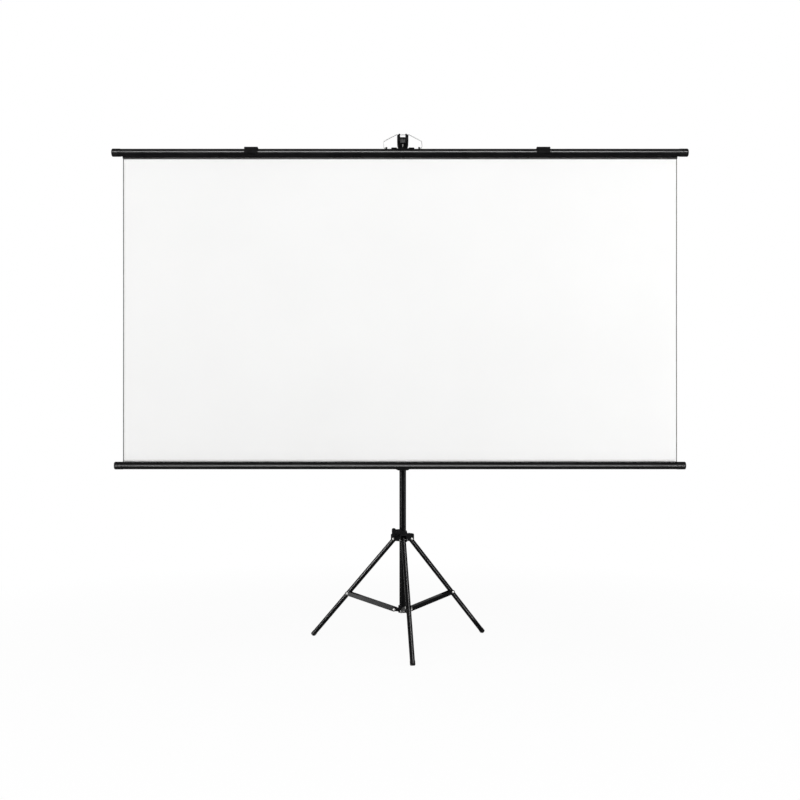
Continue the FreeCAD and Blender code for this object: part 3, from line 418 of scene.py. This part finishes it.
def moulded_plastic(name, colour, grain=1400.0, roughness=0.46, edge_lift=0.01):
    """Moulded plastic: spark-eroded grain, rounded edges that are rubbed paler, and faint flow marks."""
    nodes = FinishNodes(name)
    fine = nodes.noise(grain, detail=3.0, roughness=0.6)
    flow = nodes.noise(35.0, detail=4.0)
    wear_noise = nodes.noise(180.0, detail=3.0)
    edge, bevel = nodes.edge_mask(EDGE_RADIUS)
    worn = nodes.ranged(wear_noise, "Fac", 0.35, 0.65, 0.2, 1.0)
    wear = nodes.product(edge, worn)
    flowing = nodes.ranged(flow, "Fac", 0.35, 0.7)
    base = nodes.mixed(flowing, colour, lighter(colour, 0.006))
    nodes.set_colour(nodes.mixed(wear, base, lighter(colour, edge_lift)))
    nodes.set_roughness(flow, roughness - 0.05, roughness + 0.09)
    nodes.set_bump(nodes.bumped(fine, 0.16, 0.0003, bevel))
    nodes.set_gloss(PLASTIC_GLOSS)
    return nodes.material


def moulded_rubber(name, colour):
    """Rubber: dull, finely pitted, with scuffs that are a little paler."""
    nodes = FinishNodes(name)
    pits = nodes.noise(1100.0, detail=4.0, roughness=0.7)
    scuff = nodes.noise(120.0, detail=5.0, roughness=0.7)
    scuffed = nodes.ranged(scuff, "Fac", 0.5, 0.75)
    nodes.set_colour(nodes.mixed(scuffed, colour, lighter(colour, 0.01)))
    nodes.set_roughness(scuff, 0.4, 0.55)
    nodes.set_bump(nodes.bumped(pits, 0.25, 0.0004))
    nodes.set_gloss(RUBBER_GLOSS)
    return nodes.material


def plated_metal(name, colour, roughness, stretch=(1.0, 1.0, 1.0), dull=0.75):
    """Plated or drawn metal: fine lines along its drawn direction and duller patches."""
    nodes = FinishNodes(name)
    lines = nodes.noise(900.0, detail=3.0, stretch=stretch)
    patch = nodes.noise(60.0, detail=4.0)
    patchy = nodes.ranged(patch, "Fac", 0.35, 0.7)
    nodes.set_colour(nodes.mixed(patchy, colour, darker(colour, dull)))
    nodes.set_roughness(lines, roughness - 0.06, roughness + 0.10)
    nodes.set_bump(nodes.bumped(lines, 0.06, 0.0002))
    nodes.surface.inputs["Metallic"].default_value = 1.0
    return nodes.material


def sheet_front(name, white, edge, black, width, band, top):
    """Matte white coat: fine emboss, faint cloudiness, a dark line along both cut edges and a black top.
    The UV map's first value runs from 0 to 1 across the sheet, its second from 0 at the bar to 1 at the
    roller."""
    nodes = FinishNodes(name)
    emboss = nodes.noise(1900.0, detail=2.0)
    cloud = nodes.noise(2.2, detail=3.0)
    split = nodes.add("ShaderNodeSeparateXYZ")
    nodes.join(nodes.place, "UV", split, "Vector")
    centred = nodes.add("ShaderNodeMath", {1: 0.5}, operation="SUBTRACT")
    nodes.join(split, "X", centred, 0)
    away = nodes.add("ShaderNodeMath", operation="ABSOLUTE")
    nodes.join(centred, "Value", away, 0)
    line_at = 0.5 - band / width
    line = nodes.ranged(away, "Value", line_at - EDGE_LINE_BLUR, line_at + EDGE_LINE_BLUR)
    top_at = 1.0 - top
    black_top = nodes.ranged(split, "Y", top_at - TOP_LINE_BLUR, top_at + TOP_LINE_BLUR)
    clouded = nodes.ranged(cloud, "Fac", 0.35, 0.65)
    base = nodes.mixed(clouded, white, darker(white, 0.985))
    lined = nodes.mixed(line, base, edge)
    nodes.set_colour(nodes.mixed(black_top, lined, black))
    nodes.set_roughness(emboss, 0.78, 0.92)
    nodes.set_bump(nodes.bumped(emboss, 0.10, 0.0002))
    nodes.set_gloss(SHEET_GLOSS)
    return nodes.material


def sheet_dark(name, colour):
    """Black coat of the sheet's back: leathery grain and faint rub marks down the sheet."""
    nodes = FinishNodes(name)
    grain = nodes.noise(1300.0, detail=3.0, roughness=0.6)
    rub = nodes.noise(40.0, detail=5.0, roughness=0.6, stretch=(1.0, 1.0, 0.08))
    rubbed = nodes.ranged(rub, "Fac", 0.52, 0.78)
    nodes.set_colour(nodes.mixed(rubbed, colour, lighter(colour, 0.004)))
    nodes.set_roughness(rub, 0.6, 0.66)
    nodes.set_bump(nodes.bumped(grain, 0.15, 0.0003))
    return nodes.material


def finish_nodes(names, material):
    """Gives the CAD nodes of these names one material."""
    for name in names:
        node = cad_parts[name]
        if not node.material_slots:
            node.data.materials.append(material)
        for part in node.material_slots:
            part.material = material


def finish_faces(name, material, facing):
    """Gives the flat faces of one CAD node that look in one direction a material of their own."""
    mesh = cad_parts[name].data
    normals = np.empty(len(mesh.polygons) * 3)
    mesh.polygons.foreach_get("normal", normals)
    mesh.materials.append(material)
    facing_it = normals.reshape(-1, 3) @ np.array(facing) > SAME_WAY
    slots = np.where(facing_it, len(mesh.materials) - 1, 0)
    mesh.polygons.foreach_set("material_index", slots.astype(np.int32))


def thicken(piece, thickness):
    """Gives a one-layer sheet its thickness: its front keeps the first material, its back takes the second
    and its rim the third."""
    solid = piece.modifiers.new("thickness", "SOLIDIFY")
    solid.thickness = thickness
    solid.offset = 0.0
    solid.material_offset = 1
    solid.material_offset_rim = 2


def sheet_materials():
    """The three materials of the sheet: front, back and cut edge, made once."""
    made = bpy.data.materials.get("sheet_front_white")
    if made is None:
        sizes = bpy.context.scene.screen_sheet
        hidden = SHEET_HIGH.z - CASE_LOW.z + sizes.top_band
        sheet_front("sheet_front_white", colour_of("sheet_white"), colour_of("sheet_edge"),
                    colour_of("sheet_back"), sizes.width, sizes.edge_band, hidden / sizes.drop)
        sheet_dark("sheet_back_black", colour_of("sheet_back"))
        sheet_dark("sheet_cut_edge", colour_of("sheet_edge"))
    names = ("sheet_front_white", "sheet_back_black", "sheet_cut_edge")
    return [bpy.data.materials[name] for name in names]


class SCREEN_OT_hang_sheet(bpy.types.Operator):
    """Hangs the sheet from the roller to the bar, in place of its plain solid"""

    bl_idname = "screen.hang_sheet"
    bl_label = "Hang the sheet"

    def execute(self, context):
        """A grid of across (-1 to 1) by down (0 to 1). Depth is the sheet's plane plus a curl with the
        sixth power of across and three slow waves, both times the fourth power of the sine of down, so
        that it is flat where it meets the roller and the bar."""
        sizes = context.scene.screen_sheet
        across, down = np.meshgrid(
            np.linspace(-1.0, 1.0, sizes.columns + 1), np.linspace(0.0, 1.0, sizes.rows + 1))
        across = across.reshape(-1)
        down = down.reshape(-1)
        middle = (SHEET_LOW + SHEET_HIGH) / 2.0
        free = np.sin(math.pi * down) ** 4
        curl = sizes.edge_curl * across ** 6
        waves = sizes.wave * np.sin(3.0 * math.pi * across + 1.4 * down)
        vertices = np.stack([
            middle.x + across * sizes.width / 2.0,
            middle.y + free * (curl + waves),
            SHEET_HIGH.z - down * sizes.drop], axis=1)
        piece = mesh_object("sheet", vertices, grid_faces(sizes.rows, sizes.columns))
        grid_uv(piece, (across + 1.0) / 2.0, 1.0 - down)
        for material in sheet_materials():
            piece.data.materials.append(material)
        thicken(piece, sizes.thickness)
        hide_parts("screen_fabric")
        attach(piece, "case")
        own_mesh(piece)
        return {"FINISHED"}


class SCREEN_OT_wind_roll(bpy.types.Operator):
    """Winds the sheet's last turns on the roller, in place of their plain solid"""

    bl_idname = "screen.wind_roll"
    bl_label = "Wind the roll"

    def execute(self, context):
        """A spiral carried along X: its radius grows by one thickness with each turn, from the roller's
        face out to the roll's."""
        sizes = context.scene.screen_sheet
        centre_y = (ROLL_LOW.y + ROLL_HIGH.y) / 2.0
        centre_z = (ROLL_LOW.z + ROLL_HIGH.z) / 2.0
        inner = (ROLLER_HIGH.z - ROLLER_LOW.z) / 2.0 + sizes.thickness / 2.0
        outer = (ROLL_HIGH.z - ROLL_LOW.z) / 2.0 - sizes.thickness / 2.0
        turns = max((outer - inner) / sizes.thickness, 1.0)
        steps = int(ROLL_STEPS * turns)
        share, side = np.meshgrid(np.linspace(0.0, 1.0, steps + 1), np.linspace(-1.0, 1.0, 3))
        share = share.reshape(-1)
        side = side.reshape(-1)
        angle = 2.0 * math.pi * turns * share
        radius = inner + (outer - inner) * share
        vertices = np.stack([
            (ROLL_LOW.x + ROLL_HIGH.x) / 2.0 + side * (ROLL_HIGH.x - ROLL_LOW.x) / 2.0,
            centre_y + radius * np.cos(angle),
            centre_z + radius * np.sin(angle)], axis=1)
        piece = mesh_object("sheet_roll", vertices, grid_faces(2, steps))
        grid_uv(piece, (side + 1.0) / 2.0, share)
        for material in sheet_materials():
            piece.data.materials.append(material)
        thicken(piece, sizes.thickness * ROLL_LAYER_SHARE)
        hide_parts("fabric_roll")
        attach(piece, "roller")
        return {"FINISHED"}


class SCREEN_OT_coat_tubes(bpy.types.Operator):
    """Coats the mast, the case, the bar, the legs and the braces"""

    bl_idname = "screen.coat_tubes"
    bl_label = "Coat the tubes"

    def execute(self, context):
        """Powder coat with rub marks along each tube."""
        tube = colour_of("tube_black")
        leg = colour_of("leg_black")
        finish_nodes(TUBES_ALONG_X, coated_tube("coat_along_x", tube, (0.03, 1.0, 1.0), 0.29))
        finish_nodes(TUBES_ALONG_Z, coated_tube("coat_along_z", tube, (1.0, 1.0, 0.03), 0.24))
        finish_nodes(LEG_TUBES, coated_tube("leg_paint", leg, (1.0, 1.0, 0.15), 0.25))
        finish_nodes(BRACES, coated_tube("brace_paint", leg, (0.3, 0.3, 1.0), 0.42))
        return {"FINISHED"}


class SCREEN_OT_finish_mouldings(bpy.types.Operator):
    """Finishes the moulded pieces, inside and out, and the rubber feet"""

    bl_idname = "screen.finish_mouldings"
    bl_label = "Finish the mouldings"

    def execute(self, context):
        """Grained black plastic, a grey painted sheen on the head's sloped panel, plain inner plastic and
        rubber.
        """
        finish_nodes(MOULDINGS, moulded_plastic("moulded_black", colour_of("moulding_black")))
        finish_nodes(BAR_CAPS, moulded_plastic(
            "smooth_caps", colour_of("moulding_black"), roughness=0.26))
        # The sloped panel's faces take the grey painted sheen, standing in for the light that the slope
        # catches.
        finish_faces("mast_head", moulded_plastic(
            "polished_panel", colour_of("panel_painted_sheen"), roughness=0.3, edge_lift=0.02), PANEL_FACING)
        finish_nodes(INNER_PLASTICS, moulded_plastic(
            "moulded_inner", colour_of("inner_plastic"), grain=900.0, roughness=0.4, edge_lift=0.1))
        finish_nodes(FEET, moulded_rubber("foot_rubber", colour_of("rubber_black")))
        return {"FINISHED"}


class SCREEN_OT_finish_metal(bpy.types.Operator):
    """Finishes the rivets, the screws, the bail wire and the roller"""

    bl_idname = "screen.finish_metal"
    bl_label = "Finish the metal"

    def execute(self, context):
        """Nickel plate, bright drawn wire and mill finish."""
        finish_nodes(RIVETS, plated_metal("nickel_plate", colour_of("rivet_metal"), 0.24))
        finish_nodes(WIRES, plated_metal(
            "bright_wire_plate", colour_of("wire_metal"), 0.35, (0.05, 1.0, 1.0), 0.88))
        finish_nodes(SCREWS, plated_metal("dull_zinc", colour_of("screw_metal"), 0.5))
        finish_nodes(ROLLER_METALS, plated_metal(
            "mill_finish", colour_of("roller_metal"), 0.38, (0.03, 1.0, 1.0)))
        return {"FINISHED"}


def white_to_camera(tree, lit, white, target):
    """Mixes a lit shader with a white one of strength 1, for camera, glossy and transmission rays. Gives
    back the node whose second value is the share of white, which is under 1 where a shadow has to
    stay."""
    path = add_node(tree, "ShaderNodeLightPath")
    first = add_node(tree, "ShaderNodeMath", operation="MAXIMUM")
    tree.links.new(path.outputs["Is Camera Ray"], first.inputs[0])
    tree.links.new(path.outputs["Is Glossy Ray"], first.inputs[1])
    second = add_node(tree, "ShaderNodeMath", operation="MAXIMUM")
    tree.links.new(first.outputs["Value"], second.inputs[0])
    tree.links.new(path.outputs["Is Transmission Ray"], second.inputs[1])
    shown = add_node(tree, "ShaderNodeMath", {1: 1.0}, operation="MULTIPLY")
    tree.links.new(second.outputs["Value"], shown.inputs[0])
    mix = add_node(tree, "ShaderNodeMixShader")
    tree.links.new(shown.outputs["Value"], mix.inputs[0])
    tree.links.new(lit, mix.inputs[1])
    tree.links.new(white, mix.inputs[2])
    tree.links.new(mix.outputs["Shader"], target)
    return shown


class SCREEN_OT_set_stage(bpy.types.Operator):
    """Sets the floor, the soft light and the camera"""

    bl_idname = "screen.set_stage"
    bl_label = "Set the stage"

    def lay_floor(self, stage):
        """A square floor that is white to the camera, with the object's soft shadow near the middle."""
        half = stage.floor_size / 2.0
        corners = np.array([[-half, -half, 0.0], [half, -half, 0.0], [half, half, 0.0], [-half, half, 0.0]])
        floor = mesh_object("floor", corners, np.array([[0, 1, 2, 3]]))
        paint = bpy.data.materials.new("floor_paint")
        paint.use_nodes = True
        tree = paint.node_tree
        tree.nodes.clear()
        output = add_node(tree, "ShaderNodeOutputMaterial")
        matte = add_node(tree, "ShaderNodeBsdfDiffuse", {"Color": tuple(stage.floor_white)})
        glow = add_node(tree, "ShaderNodeEmission")
        place = add_node(tree, "ShaderNodeTexCoord")
        away = add_node(tree, "ShaderNodeVectorMath", operation="LENGTH")
        tree.links.new(place.outputs["Object"], away.inputs[0])
        share = add_node(tree, "ShaderNodeMapRange", {
            "From Min": SHADOW_NEAR, "From Max": SHADOW_FAR, "To Min": FLOOR_GLOW, "To Max": 1.0})
        tree.links.new(away.outputs["Value"], share.inputs["Value"])
        shown = white_to_camera(
            tree, matte.outputs["BSDF"], glow.outputs["Emission"], output.inputs["Surface"])
        tree.links.new(share.outputs["Result"], shown.inputs[1])
        floor.data.materials.append(paint)

    def light_world(self, scene, stage):
        """Soft light from all round, which is plain white behind the object."""
        world = bpy.data.worlds.new("soft_world")
        world.use_nodes = True
        tree = world.node_tree
        tree.nodes.clear()
        output = add_node(tree, "ShaderNodeOutputWorld")
        soft = add_node(tree, "ShaderNodeBackground", {"Color": WHITE, "Strength": stage.world_level})
        plain = add_node(tree, "ShaderNodeBackground", {"Color": WHITE, "Strength": 1.0})
        white_to_camera(
            tree, soft.outputs["Background"], plain.outputs["Background"], output.inputs["Surface"])
        scene.world = world

    def lamp(self, name, power, size, place, aim, pieces=None):
        """A soft rectangular lamp that the camera doesn't see, aimed at a point. Where pieces are named, it
        only makes gleams, and on these alone."""
        data = bpy.data.lights.new(name, "AREA")
        data.shape = "RECTANGLE"
        data.size = size[0]
        data.size_y = size[1]
        data.energy = power
        made = bpy.data.objects.new(name, data)
        bpy.context.scene.collection.objects.link(made)
        made.location = place
        toward = np.array(aim) - np.array(place)
        flat = math.hypot(toward[0], toward[1])
        made.rotation_euler = (math.atan2(flat, -toward[2]), 0.0, math.atan2(-toward[0], toward[1]))
        made.visible_camera = False
        if pieces is not None:
            gleaming = bpy.data.collections.new(name + "_pieces")
            for piece in pieces:
                gleaming.objects.link(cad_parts[piece])
            made.light_linking.receiver_collection = gleaming
            made.visible_diffuse = False

    def light_object(self, stage, sheet_y):
        """The soft boxes that light everything, and the strips that make the gleams."""
        for name, lamps, share, size, (across, along, up), aim_height in SOFT_BOXES:
            power = getattr(stage, lamps) * share
            self.lamp(name, power, size, (across, sheet_y + along, up), (0.0, sheet_y, aim_height))
        for name, share, size, (across, along, up), (aim_x, aim_y, aim_z), pieces in GLEAM_STRIPS:
            power = stage.strip_level * share * size[0] * size[1]
            strip_place = (across, sheet_y + along, up)
            self.lamp(name, power, size, strip_place, (aim_x, sheet_y + aim_y, aim_z), pieces)

    def place_camera(self, scene, stage, sheet_y):
        """A level camera straight in front of the sheet."""
        data = bpy.data.cameras.new("camera")
        data.lens = stage.lens
        data.sensor_width = SENSOR_WIDTH
        camera = bpy.data.objects.new("camera", data)
        scene.collection.objects.link(camera)
        camera.location = (0.0, sheet_y - stage.camera_distance, stage.camera_height)
        camera.rotation_euler = (math.pi / 2.0, 0.0, 0.0)
        scene.camera = camera

    def execute(self, context):
        """The floor, the world's light, the lamps and the camera."""
        scene = context.scene
        stage = scene.screen_stage
        sheet_y = (SHEET_LOW.y + SHEET_HIGH.y) / 2.0
        scene.view_settings.view_transform = "Standard"
        self.lay_floor(stage)
        self.light_world(scene, stage)
        self.light_object(stage, sheet_y)
        self.place_camera(scene, stage, sheet_y)
        return {"FINISHED"}


STEPS = (
    SCREEN_OT_hang_sheet, SCREEN_OT_wind_roll, SCREEN_OT_coat_tubes, SCREEN_OT_finish_mouldings,
    SCREEN_OT_finish_metal, SCREEN_OT_set_stage,
)


class SCREEN_PT_sidebar(bpy.types.Panel):
    """Lists the sizes, the colours and the steps in the 3D view's sidebar"""

    bl_idname = "SCREEN_PT_sidebar"
    bl_label = "Projection screen"
    bl_space_type = "VIEW_3D"
    bl_region_type = "UI"
    bl_category = "Screen"

    def draw(self, context):
        """One row for each property and one button for each step."""
        for group in (context.scene.screen_sheet, context.scene.screen_colours, context.scene.screen_stage):
            box = self.layout.box()
            for name in group.__annotations__:
                box.prop(group, name)
        for step in STEPS:
            self.layout.operator(step.bl_idname)


GROUPS = (SheetSizes, FinishColours, StageSettings)
CLASSES = GROUPS + STEPS + (SCREEN_PT_sidebar,)


def register():
    """Adds the classes, and the three groups of settings to the scene."""
    for kind in CLASSES:
        bpy.utils.register_class(kind)
    bpy.types.Scene.screen_sheet = bpy.props.PointerProperty(type=SheetSizes)
    bpy.types.Scene.screen_colours = bpy.props.PointerProperty(type=FinishColours)
    bpy.types.Scene.screen_stage = bpy.props.PointerProperty(type=StageSettings)


def unregister():
    """Removes what register adds."""
    del bpy.types.Scene.screen_stage
    del bpy.types.Scene.screen_colours
    del bpy.types.Scene.screen_sheet
    for kind in reversed(CLASSES):
        bpy.utils.unregister_class(kind)


def main():
    register()
    bpy.ops.screen.hang_sheet()
    bpy.ops.screen.wind_roll()
    bpy.ops.screen.coat_tubes()
    bpy.ops.screen.finish_mouldings()
    bpy.ops.screen.finish_metal()
    bpy.ops.screen.set_stage()
    bpy.context.view_layer.update()


if __name__ == "__main__":
    main()
